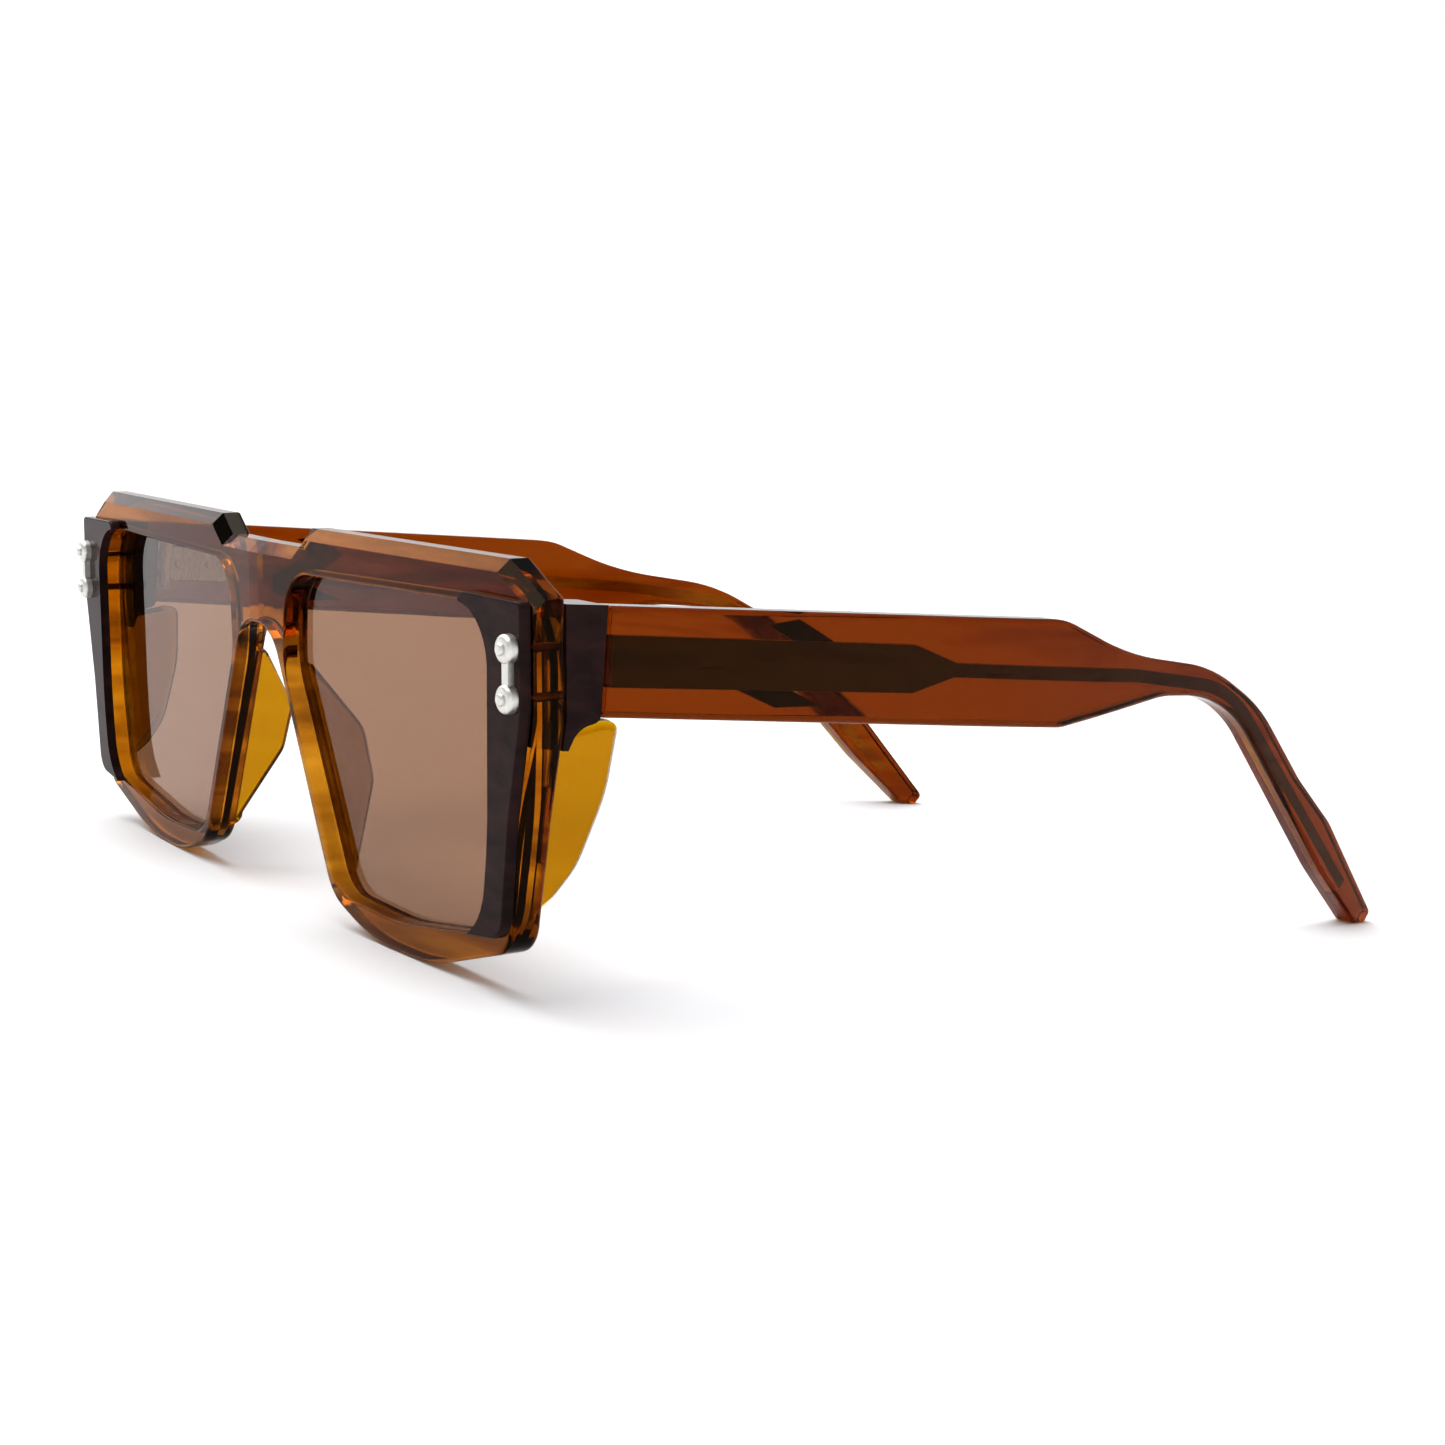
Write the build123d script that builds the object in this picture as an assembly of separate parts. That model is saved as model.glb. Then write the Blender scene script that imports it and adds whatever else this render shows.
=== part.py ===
"""Glacier glasses: a thick acetate front with nose pads and side shields, and two folding temples.

Row frame, in millimetres: +X is the wearer's left, +Y runs back along the temples and +Z is up.
The glasses stand open on the ground, on the bottoms of the rims and the tips of the temples.
Every piece is drawn for the wearer's left side, and the right side is its mirror image.

The front is drawn in its own flat frame: u across, v up the face, w forwards out of the face.
That frame leans forwards at the top, and the face itself is folded back a little on each side
of a flat strip on the bridge.
"""

import os
from math import atan2, cos, degrees, radians, sin, tan

from build123d import *

# Front: shape of the whole piece
FRONT_LEAN = 4.5  # degrees that the top leans forwards
FOLD_ANGLE = 2.3  # degrees that each side turns back
BRIDGE_FLAT = 2.9  # width of the flat strip on the bridge
FRONT_THICKNESS = 4.0
BROW_BEVEL = 1.45
BROW_BEVEL_START = 44.0  # edges higher up the face than this are part of the brow
BROW_HEIGHT = 49.3
NOTCH_HEIGHT = 46.7
HALF_WIDTH = 70.3
BRIDGE_UNDERSIDE = 36.0
EDGE_ROUND = 0.5
BACK_ROUND = 0.7
OPENING_ROUND = 0.4
OPENING_FLARE = 0.4  # chamfer behind the lens

# Raised side panels
PANEL_RISE = 1.3
PANEL_ROUND = 0.3

# Lenses
LENS_DEPTH = 2.1  # from the face of the rim to the face of the lens
LENS_THICKNESS = 1.0
GROOVE_DEPTH = 0.65
SEAT_GAP = 0.03  # clearance round every seated piece

# Endpieces
MITRE_Y = 8.5  # rear face of the endpiece
ENDPIECE_TOP = 45.2
ENDPIECE_BOTTOM = 32.3
ENDPIECE_INNER_X = 63.5

# Nose pads
PAD_START = 3.4  # behind the face
PAD_SEAT_THICKNESS = 0.9
PAD_THICKNESS = 1.7
PAD_ROUND = 0.6

# Side shields
SHIELD_THICKNESS = 1.8
SHIELD_DEPTH = 8.8  # behind the rim
SHIELD_OVERLAP = 1.5  # drawn into the rim, then cut off at its rear face
SHIELD_X = 65.5  # sideways place of the shield, for the fold of the face
SHIELD_TAB = 0.6  # half its depth
SHIELD_TAB_HEIGHT = 9.0
SHIELD_TAB_MIDDLE = 9.5
SHIELD_TAB_STEP = 0.8  # how much thinner the tab is than the shield
SHIELD_BEVEL = 0.8

# Rivet plaques, on the panels
PLAQUE_U = 67.6
PLAQUE_V = 37.3
PLAQUE_SPACING = 5.5
PLAQUE_DISC_RADIUS = 1.65
PLAQUE_DISC_HEIGHT = 1.3
PLAQUE_BAR_WIDTH = 1.3
PLAQUE_BAR_HEIGHT = 0.8
STUD_RADIUS = 0.5
STUD_HEAD_RADIUS = 0.75
STUD_HEAD_HEIGHT = 0.45
STUD_REACH = 8.9  # shank length behind the face of the panel

# Hinges
HINGE_X = 64.7
HINGE_Y = 9.9
HINGE_BOTTOM = 35.2
BARREL_RADIUS = 1.25
KNUCKLE_HEIGHT = 1.4
KNUCKLE_GAP = 0.06
KNUCKLE_COUNT = 5
NECK_WIDTH = 1.6
LEAF_THICKNESS = 0.9
SCREW_RADIUS = 0.6
SCREW_HEAD_RADIUS = 1.05
SCREW_HEAD_HEIGHT = 0.6
THREAD_GAP = 0.02
RUNNING_GAP = 0.05

# Temples
TEMPLE_FRONT_Y = 8.8
TEMPLE_THICKNESS = 4.0
TEMPLE_ROUND = 0.6
TEMPLE_OUTER_X = 70.3
BEND_X = 68.2
BEND_Y = 78.0
BEND_RADIUS = 250.0
TIP_X = 55.3
TIP_Y = 153.4
CORE_OUTSIDE = 1.4  # acetate outside the core
CORE_THICKNESS = 1.2
CORE_WIRE_WIDTH = 1.7
INLAY_OUTSIDE = 2.85
INLAY_THICKNESS = 0.35
PIN_RADIUS = 0.5
PIN_HEAD_RADIUS = 0.8
PIN_HEAD_HEIGHT = 0.3
PIN_SEAT = TEMPLE_THICKNESS  # underside of the heads, in from the outer face
PIN_END = 2.0  # in the core, in from the outer face
PIN_YS = (13.0, 18.0)
PIN_Z = 38.7

FAR = 90.0  # longer than anything that it cuts
FRONT = Plane(
    origin=(0, 0, 0),
    x_dir=(1, 0, 0),
    z_dir=(0, -cos(radians(FRONT_LEAN)), -sin(radians(FRONT_LEAN))),
)

# Outlines of the left side in the flat frame: (u, v, corner radius)
OUTER_HALF = [
    (11.0, NOTCH_HEIGHT, 0),
    (14.6, BROW_HEIGHT, 0),
    (63.0, BROW_HEIGHT, 0),
    (HALF_WIDTH, 45.4, 0),
    (HALF_WIDTH, 32.2, 5),
    (67.2, 20.0, 30),
    (64.1, 5.2, 4.2),
    (46.0, 0, 40),
    (31.0, 0, 30),
    (20.6, 3.6, 7),
    (4.6, BRIDGE_UNDERSIDE, 6.5),
]
LENS_OPENING = [
    (9.4, 43.4, 6.5),
    (63.3, 44.2, 7),
    (63.3, 20.0, 40),
    (60.2, 6.6, 5.5),
    (38.0, 3.6, 50),
    (22.3, 4.3, 6),
    (8.6, 31.5, 9),
]
PANEL = [
    (55.6, 45.4, 1.5),
    (69.6, 45.2, 0.8),
    (69.6, 33.2, 5),
    (66.7, 20.5, 25),
    (64.8, 7.0, 3.2),
    (57.0, 6.1, 0),
    (55.6, 20.0, 0),
]
PANEL_INNER = [
    (10.0, 44.2, 1),
    (62.5, 44.2, 7),
    (62.1, 18.0, 60),
    (60.2, 6.0, 8),
    (10.0, 1.0, 1),
]


def rounded_face(corners):
    """A flat face with the given corners, each (x, y, corner radius)."""
    points = [(x, y) for x, y, _ in corners]
    radii = [radius for _, _, radius in corners]
    return make_face(FilletPolyline(*points, radius=radii, close=True))


def folded_slab(front, back):
    """A sheet between two heights over the face, folded back on both sides of the bridge."""
    reach = FAR - BRIDGE_FLAT / 2
    drop = reach * tan(radians(FOLD_ANGLE))
    half = BRIDGE_FLAT / 2
    section = Polyline(
        (-FAR, front - drop),
        (-half, front),
        (half, front),
        (FAR, front - drop),
        (FAR, back - drop),
        (half, back),
        (-half, back),
        (-FAR, back - drop),
        close=True,
    )
    return extrude(Plane.XZ * make_face(section), amount=FAR, both=True)


def prism(face):
    """The face carried right through the front."""
    return extrude(face, amount=FAR / 2, both=True)


def layer(face, front, back):
    """The part of a prism between two heights over the folded face."""
    return prism(face) & folded_slab(front, back)


def face_plane(u, v, height):
    """A plane on the left half of the folded face, in the flat frame."""
    turn = radians(FOLD_ANGLE)
    drop = (u - BRIDGE_FLAT / 2) * tan(turn)
    return Plane(
        origin=(u, v, height - drop),
        x_dir=(cos(turn), 0, -sin(turn)),
        z_dir=(sin(turn), 0, cos(turn)),
    )


def place(shape):
    """From the flat frame of the front to the row frame."""
    return FRONT.location * shape


def mirrored(shape):
    """The same piece on the wearer's right."""
    return mirror(shape, about=Plane.YZ)


def edges_over(shape, plane, height):
    """Edges that lie at one height over a plane."""

    def chosen(edge):
        ends = [plane.to_local_coords(edge @ along).Z for along in (0, 0.5, 1)]
        return max(abs(end - height) for end in ends) < 0.01

    return shape.edges().filter_by(chosen)


def behind(plane, depth):
    """A test for edges whose middle lies further back than a depth."""
    return lambda edge: plane.to_local_coords(edge @ 0.5).X > depth + 0.01


def cylinder_between(start, end, radius):
    """A round bar between two points."""
    axis = Vector(*end) - Vector(*start)
    base = Plane(origin=start, z_dir=axis)
    return extrude(base * Circle(radius), amount=axis.length)


# ---------------------------------------------------------------- front


def front_outline():
    """The outer outline of both rims, with the notched brow and the arch of the bridge."""
    left = OUTER_HALF
    right = [(-u, v, radius) for u, v, radius in reversed(OUTER_HALF)]
    return rounded_face(left + right)


def outline_edges(plate, height):
    """Edges along the outlines at one height over the folded face, without the fold lines."""

    def chosen(edge):
        middle = edge @ 0.5
        drop = max(0, abs(middle.X) - BRIDGE_FLAT / 2) * tan(radians(FOLD_ANGLE))
        across = abs((edge @ 0).X - (edge @ 1).X)
        fold_line = across < 0.01 and abs(abs(middle.X) - BRIDGE_FLAT / 2) < 0.01
        return abs(middle.Z + drop - height) < 0.01 and not fold_line

    return plate.edges().filter_by(chosen)


def is_brow(edge):
    """Whether an edge is part of the brow."""
    return edge.center().Y > BROW_BEVEL_START


def is_opening(edge):
    """Whether an edge runs round one of the lens openings."""
    middle = edge @ 0.5
    return rounded_face(LENS_OPENING).distance_to(Vertex(abs(middle.X), middle.Y, 0)) < 0.05


def front_plate():
    """The folded plate with its lens openings, rounded edges and the wide bevel along the brow."""
    plate = layer(front_outline(), 0, -FRONT_THICKNESS)
    plate = chamfer(outline_edges(plate, 0).filter_by(is_brow), BROW_BEVEL)
    back = outline_edges(plate, -FRONT_THICKNESS)
    plate = fillet(back.filter_by(is_brow, reverse=True), BACK_ROUND)
    plate = fillet(outline_edges(plate, 0).filter_by(is_brow, reverse=True), EDGE_ROUND)
    back = outline_edges(plate, -FRONT_THICKNESS)
    plate = fillet(back.filter_by(is_brow), EDGE_ROUND)
    opening = prism(rounded_face(LENS_OPENING))
    plate = plate - opening - mirrored(opening)
    plate = fillet(outline_edges(plate, 0).filter_by(is_opening), OPENING_ROUND)
    return chamfer(outline_edges(plate, -FRONT_THICKNESS).filter_by(is_opening), OPENING_FLARE)


def endpiece_block():
    """The plain shape of an endpiece, behind the outer end of the front."""
    profile = rounded_face(
        [
            (2.5, ENDPIECE_TOP, 0),
            (MITRE_Y, ENDPIECE_TOP, 0),
            (MITRE_Y, ENDPIECE_BOTTOM, 1.0),
            (5.9, 31.5, 2.5),
            (5.2, 29.0, 0),
            (2.5, 29.0, 0),
        ]
    )
    block = extrude(Plane.YZ * profile, amount=HALF_WIDTH)
    inner = Box(ENDPIECE_INNER_X, 2 * FAR, 2 * FAR, align=(Align.MIN, Align.CENTER, Align.CENTER))
    behind_rim = layer(front_outline(), -FRONT_THICKNESS, -FAR / 3)
    return (block - inner) & place(behind_rim)


def endpiece():
    """The dark endpiece, glued to the back of the front, with the pocket for the hinge."""
    block = endpiece_block() - front_leaf_plate(SEAT_GAP)
    for bore in stud_bores():
        block = block - place(bore)
    return block


def lens_seat(margin):
    """The edge of the lens, or of the groove that holds it."""
    outline = offset(rounded_face(LENS_OPENING), amount=GROOVE_DEPTH + margin)
    return layer(outline, margin - LENS_DEPTH, -LENS_DEPTH - LENS_THICKNESS - margin)


def nasal_plane():
    """A plane along the nasal edge of the rim: x backwards, y up the edge, z away from the nose."""
    low_u, low_v, _ = OUTER_HALF[-2]
    high_u, high_v, _ = OUTER_HALF[-1]
    length = Vector(high_u - low_u, high_v - low_v).length
    up = (high_u - low_u) / length, (high_v - low_v) / length
    return Plane(origin=(high_u, high_v, 0), x_dir=(0, 0, -1), z_dir=(up[1], -up[0], 0))


def pad_profile(start):
    """The fin shape of a nose pad, from a given depth behind the face."""
    return rounded_face(
        [
            (start, -5.4, 0),
            (4.8, -5.6, 1.5),
            (10.2, -15.0, 4.5),
            (10.0, -22.0, 5),
            (4.8, -34.0, 1.2),
            (start, -34.0, 0),
        ]
    )


def nose_pad(margin=0):
    """A pad glued into a step on the back of the nasal rim."""
    plane = nasal_plane()
    tongue = extrude(plane * pad_profile(PAD_START - margin), amount=PAD_SEAT_THICKNESS + margin)
    tongue = tongue & folded_slab(0, -FRONT_THICKNESS - PAD_ROUND)
    fin = extrude(plane * pad_profile(PAD_START), amount=PAD_THICKNESS)
    rims = edges_over(fin, plane, 0) + edges_over(fin, plane, PAD_THICKNESS)
    fin = fillet(rims.filter_by(behind(plane, PAD_START)), PAD_ROUND)
    rear = folded_slab(-FRONT_THICKNESS + margin, -FAR)
    return tongue + (fin & rear)


def shield_plane():
    """A plane just inside the outer edge of the rim: x backwards, y up, z outwards."""
    return Plane(origin=(64.0, 10.5, 0), x_dir=(0, 0, -1), z_dir=(0.985, -0.173, 0))


def shield_drop():
    """How far the folded face lies behind the flat frame at the shield."""
    return (SHIELD_X - BRIDGE_FLAT / 2) * tan(radians(FOLD_ANGLE))


def side_shield():
    """The shield behind the outer rim, bevelled on its outer face, with the tab that holds it."""
    plane = shield_plane()
    start = FRONT_THICKNESS + shield_drop() - SHIELD_OVERLAP
    rear = start + SHIELD_OVERLAP + SHIELD_DEPTH
    blade = rounded_face(
        [
            (start, 19.6, 0),
            (rear - 2, 20.8, 3),
            (rear, 20.2, 1.2),
            (rear - 0.8, 12.0, 20),
            (rear - 3.8, 3.4, 10),
            (rear - 6.8, -0.2, 6),
            (start, -2.6, 0),
        ]
    )
    body = extrude(plane * blade, amount=-SHIELD_THICKNESS)
    body = chamfer(edges_over(body, plane, 0).filter_by(behind(plane, start)), SHIELD_BEVEL)
    return (body & folded_slab(-FRONT_THICKNESS, -FAR)) + shield_tab(0)


def shield_tab(margin):
    """The tab of the shield, or the slot in the rim that holds it."""
    back = FRONT_THICKNESS + shield_drop()
    tab = Rectangle(2 * SHIELD_TAB + 2 * margin, SHIELD_TAB_HEIGHT + 2 * margin)
    face = shield_plane() * (Pos(back, SHIELD_TAB_MIDDLE) * tab)
    thickness = SHIELD_THICKNESS - SHIELD_TAB_STEP
    slab = extrude(face, amount=-thickness - margin)
    return slab + extrude(face, amount=margin) if margin else slab


def stud_axis(side):
    """Start and end of one rivet's shank, in the flat frame, from the plaque to the hinge leaf."""
    plane = face_plane(PLAQUE_U, PLAQUE_V + side * PLAQUE_SPACING / 2, PANEL_RISE)
    top = plane.origin + plane.z_dir * PLAQUE_DISC_HEIGHT
    end = plane.origin - plane.z_dir * STUD_REACH
    return top, end


def stud_bores():
    """Clearance holes for both rivets."""
    return [cylinder_between(*stud_axis(side), STUD_RADIUS + SEAT_GAP) for side in (-1, 1)]


def rivet_studs():
    """Two rivets with domed heads."""
    studs = []
    for side in (-1, 1):
        top, end = stud_axis(side)
        plane = face_plane(PLAQUE_U, PLAQUE_V + side * PLAQUE_SPACING / 2, PANEL_RISE)
        seat = Plane(origin=top, x_dir=plane.x_dir, z_dir=plane.z_dir)
        head = extrude(seat * Circle(STUD_HEAD_RADIUS), amount=STUD_HEAD_HEIGHT)
        rim = head.edges().filter_by(GeomType.CIRCLE).sort_by(Axis.Z)[-1]
        head = fillet(rim, STUD_HEAD_HEIGHT * 0.8)
        studs.append(head + cylinder_between(top, end, STUD_RADIUS))
    return studs


def rivet_plaque():
    """The dumbbell plaque: two thick rounded discs joined by a narrow bar."""
    plane = face_plane(PLAQUE_U, PLAQUE_V, PANEL_RISE)
    bar = extrude(plane * Rectangle(PLAQUE_BAR_WIDTH, PLAQUE_SPACING), amount=PLAQUE_BAR_HEIGHT)
    plaque = bar
    for side in (-1, 1):
        disc = extrude(
            plane * (Pos(0, side * PLAQUE_SPACING / 2) * Circle(PLAQUE_DISC_RADIUS)),
            amount=PLAQUE_DISC_HEIGHT,
        )
        rim = disc.edges().filter_by(GeomType.CIRCLE).sort_by(Axis.Z)[-1]
        plaque = plaque + fillet(rim, 0.6)
    for bore in stud_bores():
        plaque = plaque - bore
    return plaque


def side_panel():
    """The raised dark panel, reaching a little over the lens."""
    panel = layer(rounded_face(PANEL), PANEL_RISE, 0)
    panel = fillet(outline_edges(panel, PANEL_RISE), PANEL_ROUND)
    panel = panel - prism(rounded_face(PANEL_INNER))
    for bore in stud_bores():
        panel = panel - bore
    return panel


# ---------------------------------------------------------------- hinge


def knuckle_levels(first):
    """Lower heights of every second knuckle."""
    return [HINGE_BOTTOM + KNUCKLE_HEIGHT * i for i in range(first, KNUCKLE_COUNT, 2)]


def knuckle(level, neck_end, gap, bore):
    """One barrel with the neck that joins it to its leaf, bored for the screw."""
    height = KNUCKLE_HEIGHT - 2 * gap
    base = Plane(origin=(HINGE_X, HINGE_Y, level + gap))
    barrel = extrude(base * Circle(BARREL_RADIUS), amount=height)
    length = Vector(*neck_end).length
    angle = degrees(atan2(neck_end[1], neck_end[0]))
    strip = Rectangle(length, NECK_WIDTH, align=(Align.MIN, Align.CENTER))
    neck = extrude(base * (Rot(0, 0, angle) * strip), amount=height)
    hole = extrude(base * Circle(bore), amount=height)
    return barrel + neck - hole


def front_leaf_plate(margin):
    """The plate of the front leaf, or its pocket in the rear face of the endpiece."""
    plate = rounded_face(
        [
            (63.85 - margin, 33.4 - margin, 0.4),
            (68.7 + margin, 33.4 - margin, 0.4),
            (68.7 + margin, 42.4 + margin, 0.4),
            (63.85 - margin, 42.4 + margin, 0.4),
        ]
    )
    rear = MITRE_Y - 0.15
    front = Plane(origin=(0, rear - LEAF_THICKNESS - margin, 0), x_dir=(1, 0, 0), z_dir=(0, -1, 0))
    depth = 2 if margin else LEAF_THICKNESS
    return extrude(front * plate, amount=-depth)


def hinge_front_leaf():
    """The leaf in the endpiece, with the odd knuckles."""
    leaf = front_leaf_plate(0)
    for level in knuckle_levels(0):
        neck = (0, MITRE_Y - 0.5 - HINGE_Y)
        leaf = leaf + knuckle(level, neck, 0, SCREW_RADIUS + THREAD_GAP)
    for bore in stud_bores():
        leaf = leaf - place(bore)
    return leaf


def hinge_temple_leaf():
    """The leaf in the temple, with the even knuckles."""
    leaf = temple_leaf_plate(0)
    for level in knuckle_levels(1):
        neck = (TEMPLE_OUTER_X - TEMPLE_THICKNESS + 0.4 - HINGE_X, 0)
        leaf = leaf + knuckle(level, neck, KNUCKLE_GAP, SCREW_RADIUS + RUNNING_GAP)
    for bore in pin_shanks(SEAT_GAP):
        leaf = leaf - bore
    return leaf


def hinge_screw():
    """The slotted screw that is the hinge pin."""
    top = HINGE_BOTTOM + KNUCKLE_COUNT * KNUCKLE_HEIGHT
    shank = cylinder_between(
        (HINGE_X, HINGE_Y, HINGE_BOTTOM - 0.2), (HINGE_X, HINGE_Y, top), SCREW_RADIUS
    )
    head = cylinder_between(
        (HINGE_X, HINGE_Y, top), (HINGE_X, HINGE_Y, top + SCREW_HEAD_HEIGHT), SCREW_HEAD_RADIUS
    )
    head = fillet(head.edges().sort_by(Axis.Z)[-1], 0.2)
    slot = Pos(HINGE_X, HINGE_Y, top + SCREW_HEAD_HEIGHT) * Box(4, 0.3, 0.5)
    return shank + head - slot


# ---------------------------------------------------------------- temples


def temple_layer(face, outside, inside):
    """A side view carried across the temple, between two distances in from its outer face."""
    band = rounded_face(
        [
            (TEMPLE_OUTER_X - outside, 0, 0),
            (BEND_X - outside, BEND_Y, BEND_RADIUS - outside),
            (TIP_X - outside, TIP_Y, 0),
            (TIP_X - inside, TIP_Y, 0),
            (BEND_X - inside, BEND_Y, BEND_RADIUS - inside),
            (TEMPLE_OUTER_X - inside, 0, 0),
        ]
    )
    return extrude(Plane.YZ * face, amount=FAR) & extrude(band, amount=FAR)


def temple_side():
    """Side view of the temple: a wide bar, stepped down to the bent ear end."""
    return rounded_face(
        [
            (TEMPLE_FRONT_Y, 45.1, 0.4),
            (77.0, 44.5, 12),
            (89.5, 40.0, 50),
            (107.2, 38.2, 30),
            (118.4, 32.8, 26),
            (129.2, 22.3, 20),
            (137.7, 15.6, 8),
            (150.4, 1.6, 0.8),
            (149.2, 0, 0.6),
            (146.6, 0, 1.2),
            (136.5, 8.6, 20),
            (111.0, 34.3, 22),
            (97.0, 34.5, 20),
            (84.5, 32.1, 20),
            (77.5, 30.8, 8),
            (TEMPLE_FRONT_Y, 32.7, 0.4),
        ]
    )


def core_side(margin):
    """Side view of the core: a blade that tapers into a wire."""
    blade = make_face(
        Polyline(
            (10.2, 36.0),
            (53.0, 35.3),
            (60.0, 37.4),
            (60.0, 38.8),
            (53.0, 41.1),
            (10.2, 41.8),
            close=True,
        )
    )
    if margin:
        blade = offset(blade, amount=margin)
    route = FilletPolyline(
        (58.0, 38.1), (92.0, 37.2), (112.0, 35.2), (143.0, 6.0), radius=20
    )
    wire = trace(route, line_width=CORE_WIRE_WIDTH + 2 * margin)
    return blade + wire


def temple_core(margin=0):
    """The core, or its channel in the acetate."""
    inside = CORE_OUTSIDE + CORE_THICKNESS
    return temple_layer(core_side(margin), CORE_OUTSIDE - margin, inside + margin)


def temple_inlay(margin=0):
    """A zigzag slip behind the blade of the core, or its seat."""
    slip = Polyline(
        (31.7, 43.1),
        (36.2, 43.8),
        (41.5, 41.2),
        (34.8, 35.8),
        (40.0, 33.7),
        (33.5, 33.5),
        (27.4, 35.8),
        (35.7, 41.2),
        close=True,
    )
    outline = make_face(slip)
    if margin:
        outline = offset(outline, amount=margin)
    return temple_layer(outline, INLAY_OUTSIDE - margin, INLAY_OUTSIDE + INLAY_THICKNESS + margin)


def temple_leaf_plate(margin):
    """The plate of the temple leaf, or its seat in the inner face of the temple."""
    front = TEMPLE_FRONT_Y + 0.3
    outline = rounded_face(
        [
            (front - margin, 36.2 - margin, 0.3),
            (21.0 + margin, 36.2 - margin, 0.8),
            (21.0 + margin, 41.2 + margin, 0.8),
            (front - margin, 41.2 + margin, 0.3),
        ]
    )
    outside = TEMPLE_THICKNESS - 0.05 - LEAF_THICKNESS
    inside = TEMPLE_THICKNESS + 1 if margin else TEMPLE_THICKNESS - 0.05
    return temple_layer(outline, outside - margin, inside)


def temple_face_x(y, inwards):
    """Place across the straight part of the temple, a distance in from its outer face."""
    return TEMPLE_OUTER_X + (BEND_X - TEMPLE_OUTER_X) * y / BEND_Y - inwards


def pin_shanks(margin):
    """The shanks of the two pins that hold the temple leaf."""
    shanks = []
    for y in PIN_YS:
        inner = (temple_face_x(y, PIN_SEAT), y, PIN_Z)
        outer = (temple_face_x(y, PIN_END - margin), y, PIN_Z)
        shanks.append(cylinder_between(inner, outer, PIN_RADIUS + margin))
    return shanks


def temple_leaf_pins():
    """Two pins with low domed heads on the inner face of the leaf."""
    pins = []
    for shank, y in zip(pin_shanks(0), PIN_YS):
        seat = (temple_face_x(y, PIN_SEAT), y, PIN_Z)
        top = (temple_face_x(y, PIN_SEAT + PIN_HEAD_HEIGHT), y, PIN_Z)
        head = cylinder_between(seat, top, PIN_HEAD_RADIUS)
        rim = head.edges().filter_by(GeomType.CIRCLE).sort_by(Axis.X)[0]
        pins.append(shank + fillet(rim, PIN_HEAD_HEIGHT * 0.7))
    return pins


def runs_along(edge):
    """Whether an edge follows the outline of the temple, and doesn't just cross its thickness."""
    start, end = edge @ 0, edge @ 1
    return abs(start.Y - end.Y) > 0.3 or abs(start.Z - end.Z) > 0.3


def temple():
    """The acetate temple, with seats for all that is sunk into it."""
    body = temple_layer(temple_side(), 0, TEMPLE_THICKNESS)
    body = fillet(body.edges().filter_by(runs_along), TEMPLE_ROUND)
    body = body - temple_core(SEAT_GAP) - temple_inlay(SEAT_GAP) - temple_leaf_plate(SEAT_GAP)
    for bore in pin_shanks(SEAT_GAP):
        body = body - bore
    return body


# ---------------------------------------------------------------- assembly


def front_frame():
    """The front plate with its openings, seats and slots."""
    front = front_plate()
    cuts = [
        lens_seat(SEAT_GAP),
        nose_pad(SEAT_GAP),
        shield_tab(SEAT_GAP),
        *stud_bores(),
    ]
    for cut in cuts:
        front = front - cut - mirrored(cut)
    return place(front)


def front_fasteners():
    """The fasteners of the front: all four rivets, and both hinge screws."""
    studs = [place(stud) for stud in rivet_studs()]
    screw = hinge_screw()
    return {
        "rivet_studs": Compound(studs + [mirrored(stud) for stud in studs]),
        "hinge_screws": Compound([screw, mirrored(screw)]),
    }


def left_pieces():
    """Every other piece of the wearer's left side, by name."""
    core = temple_core()
    for bore in pin_shanks(SEAT_GAP):
        core = core - bore
    return {
        "side_panel": place(side_panel()),
        "lens": place(lens_seat(0)),
        "nose_pad": place(nose_pad()),
        "side_shield": place(side_shield()) - endpiece_block(),
        "endpiece": endpiece(),
        "rivet_plaque": place(rivet_plaque()),
        "hinge_front_leaf": hinge_front_leaf(),
        "hinge_temple_leaf": hinge_temple_leaf(),
        "temple": temple(),
        "temple_core": core,
        "temple_inlay": temple_inlay(),
        "temple_leaf_pins": Compound(temple_leaf_pins()),
    }


def export(shape, node):
    """One STEP file for one named piece."""
    shape.label = node
    export_step(shape, f"parts/{node}.step")


os.makedirs("parts", exist_ok=True)
export(front_frame(), "front_frame")
for name, piece in front_fasteners().items():
    export(piece, name)
for name, piece in left_pieces().items():
    export(piece, f"{name}_left")
    export(mirrored(piece), f"{name}_right")
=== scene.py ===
"""Glacier glasses in Blender: finishes for every piece, a pale floor, soft light and the camera."""

from math import cos, radians, sin

import bpy
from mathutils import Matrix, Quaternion, Vector


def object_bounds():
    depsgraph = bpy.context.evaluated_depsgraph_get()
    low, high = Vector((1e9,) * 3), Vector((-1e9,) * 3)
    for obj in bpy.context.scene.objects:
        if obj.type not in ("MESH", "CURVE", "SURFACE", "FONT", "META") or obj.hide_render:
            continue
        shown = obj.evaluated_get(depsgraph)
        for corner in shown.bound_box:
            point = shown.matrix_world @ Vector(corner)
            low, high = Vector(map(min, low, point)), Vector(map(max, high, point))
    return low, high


# Camera
CAMERA_AZIMUTH = 56.4  # degrees round from straight ahead of the glasses
CAMERA_PITCH = 6.6
CAMERA_ROLL = 4.0
CAMERA_PLACE = (0.3072, -0.1329, 0.0651)
CAMERA_LENS = 62.98  # millimetres, on a 36 mm sensor
SENSOR_WIDTH = 36
NEAREST_SEEN = 0.01

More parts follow.
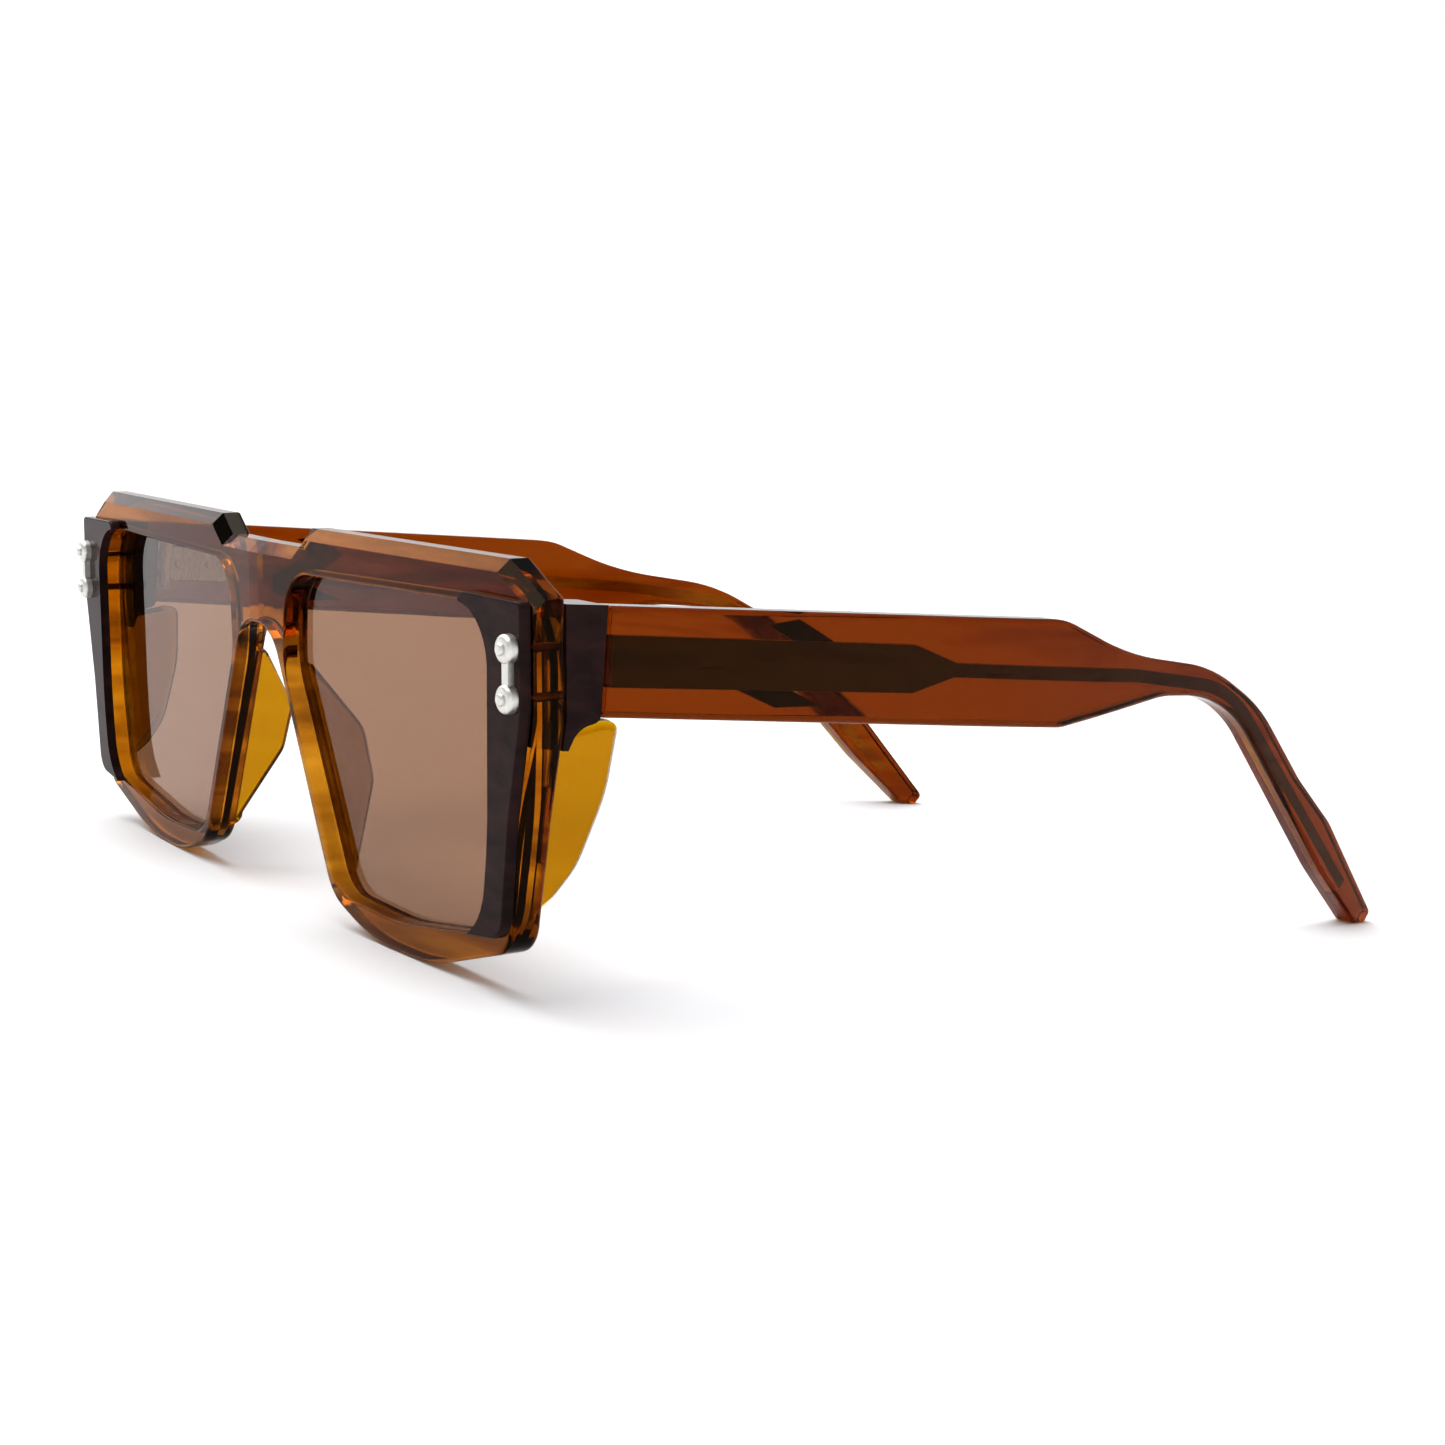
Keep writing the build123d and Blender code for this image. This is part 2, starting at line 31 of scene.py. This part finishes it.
# Absorption of the see-through materials, per metre, for red, green and blue
FRONT_ABSORPTION = (70, 140, 500)
TEMPLE_ABSORPTION = (350, 720, 2400)
AMBER_ABSORPTION = (380, 720, 3600)
LENS_ABSORPTION = (930, 1430, 1900)

# Tints at the surface of the see-through materials, along a streak from dark to light
FRONT_TINTS = [(0.38, (0.28, 0.12, 0.02)), (0.5, (0.48, 0.23, 0.03)), (0.64, (0.7, 0.39, 0.06))]
TEMPLE_TINTS = [(0.34, (0.72, 0.52, 0.3)), (0.5, (1.0, 0.94, 0.82)), (0.75, (1.0, 0.98, 0.92))]
AMBER_TINTS = [(0.3, (0.95, 0.88, 0.7)), (0.7, (1.0, 0.97, 0.9))]
LENS_TINTS = [(0.3, (0.97, 0.97, 0.98)), (0.7, (1.0, 1.0, 1.0))]

# Colours of their shine
ACETATE_SHINE = (0.8, 0.5, 0.25)
AMBER_SHINE = (0.9, 0.6, 0.2)
LENS_SHINE = (0.8, 0.75, 0.7)

# Refraction, low enough for the pale floor to show little on them
FRONT_IOR = 1.25
TEMPLE_IOR = 1.34
AMBER_IOR = 1.42
LENS_IOR = 1.45
PLUM_IOR = 1.5

# Roughness, from the smoothest spots to the most worn ones
ACETATE_ROUGHNESS = (0.02, 0.07)
AMBER_ROUGHNESS = (0.1, 0.2)
LENS_ROUGHNESS = (0.005, 0.02)
PLUM_ROUGHNESS = (0.05, 0.13)
NICKEL_ROUGHNESS = (0.38, 0.5)
STEEL_ROUGHNESS = (0.2, 0.35)
CORE_ROUGHNESS = (0.22, 0.38)

# Dark and light tone of the solid colours
PLUM_TONES = ((0.018, 0.008, 0.009), (0.045, 0.02, 0.018))
NICKEL_TONES = ((0.66, 0.65, 0.62), (0.76, 0.75, 0.72))
STEEL_TONES = ((0.55, 0.53, 0.5), (0.7, 0.68, 0.64))
CORE_SILVER = ((0.62, 0.59, 0.52), (0.78, 0.75, 0.68))
CORE_DARK = ((0.02, 0.008, 0.016), (0.035, 0.014, 0.024))

# Faint waviness of the polished faces: depth in metres, and strength
WAVE_DEPTH = 0.0004
WAVE_STRENGTH = 0.12
GRAIN_STRENGTH = 0.25

# The outer face of a core turns dark between these shares of its normal along X
CORE_TURN = (0.6, 0.8)

# Room light: shades from the horizon to overhead
ROOM_SHADES = [
    (0.2, (1.0, 1.0, 1.0)),
    (0.45, (0.5, 0.5, 0.52)),
    (1.0, (0.45, 0.45, 0.47)),
]

# Soft light from all over the ceiling: where it comes from, spread in degrees, strength
CEILING_FROM = (-0.3, -0.2, 1.0)
CEILING_SPREAD = 62
CEILING_STRENGTH = 3.0

# Square lights: name, place, aim, size in metres, power in watts
SQUARE_LIGHTS = (
    ("high_left", (-0.85, -0.1, 0.58), (0, 0, 0.03), 0.7, 1.8),
    ("left_fill", (0.9, -0.2, 0.5), (0, 0.05, 0.02), 0.6, 0.5),
)

FLOOR_SIZE = 12
VIEW_GAMMA = 0.8
SIDES = ("left", "right")


def absorb(tree, rates):
    """A plain absorption inside the piece, from its rate in each colour."""
    node = tree.nodes.new("ShaderNodeVolumeAbsorption")
    density = max(rates) * 1.02  # a little over the highest rate, so that no colour reaches zero
    node.inputs["Density"].default_value = density
    node.inputs["Color"].default_value = [1 - rate / density for rate in rates] + [1]
    tree.links.new(node.outputs["Volume"], tree.nodes["Material Output"].inputs["Volume"])


def new_material(name):
    """A node material with its tree and its shader."""
    material = bpy.data.materials.new(name)
    material.use_nodes = True
    tree = material.node_tree
    return material, tree, tree.nodes["Principled BSDF"]


def object_space(tree, scale):
    """Object coordinates, stretched by a scale in each direction."""
    source = tree.nodes.new("ShaderNodeTexCoord")
    mapping = tree.nodes.new("ShaderNodeMapping")
    mapping.inputs["Scale"].default_value = scale
    tree.links.new(source.outputs["Object"], mapping.inputs["Vector"])
    return mapping.outputs["Vector"]


def noise(tree, scale, detail, stretch=(1, 1, 1), distortion=0.0):
    """Noise of a scale per metre."""
    node = tree.nodes.new("ShaderNodeTexNoise")
    node.inputs["Scale"].default_value = scale
    node.inputs["Detail"].default_value = detail
    node.inputs["Distortion"].default_value = distortion
    tree.links.new(object_space(tree, stretch), node.inputs["Vector"])
    return node.outputs["Fac"]


def ramp(tree, value, stops):
    """Colours picked along a value, from (place, colour) stops."""
    node = tree.nodes.new("ShaderNodeValToRGB")
    elements = node.color_ramp.elements
    while len(elements) < len(stops):
        elements.new(0.5)
    for element, (place, colour) in zip(elements, stops):
        element.position = place
        element.color = (*colour, 1)
    tree.links.new(value, node.inputs["Fac"])
    return node.outputs["Color"]


def spread(tree, value, low, high):
    """A value from 0 to 1 carried over to a range."""
    node = tree.nodes.new("ShaderNodeMapRange")
    node.inputs["To Min"].default_value = low
    node.inputs["To Max"].default_value = high
    tree.links.new(value, node.inputs["Value"])
    return node.outputs["Result"]


def bump(tree, height, depth, strength):
    """A normal from a height, in metres of depth."""
    node = tree.nodes.new("ShaderNodeBump")
    node.inputs["Strength"].default_value = strength
    node.inputs["Distance"].default_value = depth
    tree.links.new(height, node.inputs["Height"])
    return node.outputs["Normal"]


def clear_plastic(name, rates, tints, shine, ior, roughness):
    """Polished see-through plastic: streaked tint, tinted shine, faint waviness, absorption inside."""
    material, tree, shader = new_material(name)
    shader.inputs["Transmission Weight"].default_value = 1.0
    shader.inputs["IOR"].default_value = ior
    shader.inputs["Specular Tint"].default_value = (*shine, 1)
    streaks = noise(tree, scale=60, detail=5, stretch=(0.35, 0.5, 3.2), distortion=0.6)
    tree.links.new(ramp(tree, streaks, tints), shader.inputs["Base Color"])
    wear = noise(tree, scale=900, detail=3)
    tree.links.new(spread(tree, wear, *roughness), shader.inputs["Roughness"])
    waves = noise(tree, scale=55, detail=1)
    tree.links.new(bump(tree, waves, WAVE_DEPTH, WAVE_STRENGTH), shader.inputs["Normal"])
    absorb(tree, rates)
    return material


def dark_plastic(name, low, high):
    """Polished dark plastic with a faint cloudy grain."""
    material, tree, shader = new_material(name)
    clouds = noise(tree, scale=160, detail=6, stretch=(1, 1, 2.2), distortion=0.4)
    tree.links.new(ramp(tree, clouds, [(0.35, low), (0.7, high)]), shader.inputs["Base Color"])
    wear = noise(tree, scale=1100, detail=3)
    tree.links.new(spread(tree, wear, *PLUM_ROUGHNESS), shader.inputs["Roughness"])
    waves = noise(tree, scale=70, detail=1)
    tree.links.new(bump(tree, waves, WAVE_DEPTH, WAVE_STRENGTH), shader.inputs["Normal"])
    shader.inputs["IOR"].default_value = PLUM_IOR
    shader.inputs["Specular IOR Level"].default_value = 0.08
    return material


def metal(name, low, high, roughness, stretch, depth):
    """Metal with fine lines or a fine grain, in two close tones."""
    material, tree, shader = new_material(name)
    shader.inputs["Metallic"].default_value = 1.0
    grain = noise(tree, scale=1500, detail=4, stretch=stretch)
    tree.links.new(ramp(tree, grain, [(0.3, low), (0.7, high)]), shader.inputs["Base Color"])
    tree.links.new(spread(tree, grain, *roughness), shader.inputs["Roughness"])
    tree.links.new(bump(tree, grain, depth, GRAIN_STRENGTH), shader.inputs["Normal"])
    return material


def core_metal(name, outward):
    """Silver core whose outer face is dark: outward is +1 or -1 along X."""
    material = metal(name, *CORE_SILVER, CORE_ROUGHNESS, stretch=(1, 0.08, 1), depth=0.00002)
    tree = material.node_tree
    shader = tree.nodes["Principled BSDF"]
    silver = shader.inputs["Base Color"].links[0].from_socket
    source = tree.nodes.new("ShaderNodeTexCoord")
    parts = tree.nodes.new("ShaderNodeSeparateXYZ")
    tree.links.new(source.outputs["Normal"], parts.inputs["Vector"])
    facing = tree.nodes.new("ShaderNodeMapRange")
    facing.inputs["From Min"].default_value = CORE_TURN[0] * outward
    facing.inputs["From Max"].default_value = CORE_TURN[1] * outward
    tree.links.new(parts.outputs["X"], facing.inputs["Value"])
    mix = tree.nodes.new("ShaderNodeMix")
    mix.data_type = "RGBA"
    tree.links.new(facing.outputs["Result"], mix.inputs["Factor"])
    tree.links.new(silver, mix.inputs["A"])
    low, high = CORE_DARK
    clouds = ramp(tree, noise(tree, scale=200, detail=4), [(0.3, low), (0.7, high)])
    tree.links.new(clouds, mix.inputs["B"])
    tree.links.new(mix.outputs["Result"], shader.inputs["Base Color"])
    tree.links.new(spread(tree, facing.outputs["Result"], 1, 0), shader.inputs["Metallic"])
    return material


def use(node, material):
    """The node's object wears this material in every slot."""
    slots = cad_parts[node].data.materials
    for i in range(len(slots)):
        slots[i] = material
    if not slots:
        slots.append(material)


def finish_pieces():
    """A finish for every node."""
    front = clear_plastic(
        "front_acetate", FRONT_ABSORPTION, FRONT_TINTS, ACETATE_SHINE, FRONT_IOR, ACETATE_ROUGHNESS
    )
    acetate = clear_plastic(
        "temple_acetate", TEMPLE_ABSORPTION, TEMPLE_TINTS, ACETATE_SHINE, TEMPLE_IOR, ACETATE_ROUGHNESS
    )
    amber = clear_plastic("amber", AMBER_ABSORPTION, AMBER_TINTS, AMBER_SHINE, AMBER_IOR, AMBER_ROUGHNESS)
    lens = clear_plastic("lens", LENS_ABSORPTION, LENS_TINTS, LENS_SHINE, LENS_IOR, LENS_ROUGHNESS)
    plum = dark_plastic("plum", *PLUM_TONES)
    nickel = metal("nickel", *NICKEL_TONES, NICKEL_ROUGHNESS, stretch=(1, 1, 1), depth=0.000004)
    steel = metal("steel", *STEEL_TONES, STEEL_ROUGHNESS, stretch=(1, 1, 0.1), depth=0.00002)
    use("front_frame", front)
    use("rivet_studs", nickel)
    use("hinge_screws", steel)
    for side in SIDES:
        for node, material in (
            ("endpiece", plum),
            ("lens", lens),
            ("nose_pad", amber),
            ("side_shield", amber),
            ("side_panel", plum),
            ("rivet_plaque", nickel),
            ("hinge_front_leaf", steel),
            ("hinge_temple_leaf", steel),
            ("temple_leaf_pins", steel),
            ("temple_inlay", plum),
            ("temple", acetate),
            ("temple_core", core_metal(f"core_{side}", 1 if side == "left" else -1)),
        ):
            use(f"{node}_{side}", material)


def make_floor(height):
    """A wide pale floor."""
    bpy.ops.mesh.primitive_plane_add(size=FLOOR_SIZE, location=(0, 0, height))
    floor = bpy.context.object
    floor.name = "floor"
    material, tree, shader = new_material("paper")
    patches = noise(tree, scale=8, detail=2)
    tint = ramp(tree, patches, [(0.3, (0.86, 0.86, 0.865)), (0.7, (0.88, 0.88, 0.88))])
    tree.links.new(tint, shader.inputs["Base Color"])
    shader.inputs["Roughness"].default_value = 0.6
    shader.inputs["Specular IOR Level"].default_value = 0.1
    floor.data.materials.append(material)


def hang_light(name, data, place, aim):
    """A light at a place, turned to a point."""
    light = bpy.data.objects.new(name, data)
    light.location = place
    light.rotation_mode = "QUATERNION"
    light.rotation_quaternion = (Vector(aim) - Vector(place)).to_track_quat("-Z", "Y")
    bpy.context.scene.collection.objects.link(light)


def make_lights():
    """The soft ceiling light and the square lights."""
    ceiling = bpy.data.lights.new("overhead", "SUN")
    ceiling.angle = radians(CEILING_SPREAD)
    ceiling.energy = CEILING_STRENGTH
    hang_light("overhead", ceiling, CEILING_FROM, (0, 0, 0))
    for name, place, aim, size, power in SQUARE_LIGHTS:
        data = bpy.data.lights.new(name, "AREA")
        data.size = size
        data.energy = power
        hang_light(name, data, place, aim)


def make_world():
    """A white room that turns grey overhead."""
    world = bpy.data.worlds.new("studio")
    bpy.context.scene.world = world
    world.use_nodes = True
    tree = world.node_tree
    source = tree.nodes.new("ShaderNodeTexCoord")
    parts = tree.nodes.new("ShaderNodeSeparateXYZ")
    tree.links.new(source.outputs["Generated"], parts.inputs["Vector"])
    background = tree.nodes["Background"]
    tree.links.new(ramp(tree, parts.outputs["Z"], ROOM_SHADES), background.inputs["Color"])
    background.inputs["Strength"].default_value = 1.0


def make_camera():
    """The camera."""
    data = bpy.data.cameras.new("camera")
    data.lens = CAMERA_LENS
    data.sensor_width = SENSOR_WIDTH
    data.clip_start = NEAREST_SEEN
    camera = bpy.data.objects.new("camera", data)
    azimuth, pitch = radians(CAMERA_AZIMUTH), radians(CAMERA_PITCH)
    ahead = Vector((-sin(azimuth) * cos(pitch), cos(azimuth) * cos(pitch), -sin(pitch)))
    camera.location = CAMERA_PLACE
    camera.rotation_mode = "QUATERNION"
    level = ahead.to_track_quat("-Z", "Y")
    camera.rotation_quaternion = level @ Quaternion((0, 0, 1), radians(CAMERA_ROLL))
    bpy.context.scene.collection.objects.link(camera)
    bpy.context.scene.camera = camera


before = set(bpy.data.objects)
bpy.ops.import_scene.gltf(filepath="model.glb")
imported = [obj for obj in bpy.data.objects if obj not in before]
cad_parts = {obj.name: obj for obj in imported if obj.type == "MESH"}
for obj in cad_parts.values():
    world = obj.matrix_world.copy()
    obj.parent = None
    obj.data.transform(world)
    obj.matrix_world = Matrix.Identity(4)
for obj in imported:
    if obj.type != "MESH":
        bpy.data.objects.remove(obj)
cad_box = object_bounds()
finish_pieces()
make_floor(cad_box[0].z)
make_world()
make_lights()
make_camera()
bpy.context.scene.view_settings.view_transform = "Standard"
bpy.context.scene.view_settings.gamma = VIEW_GAMMA
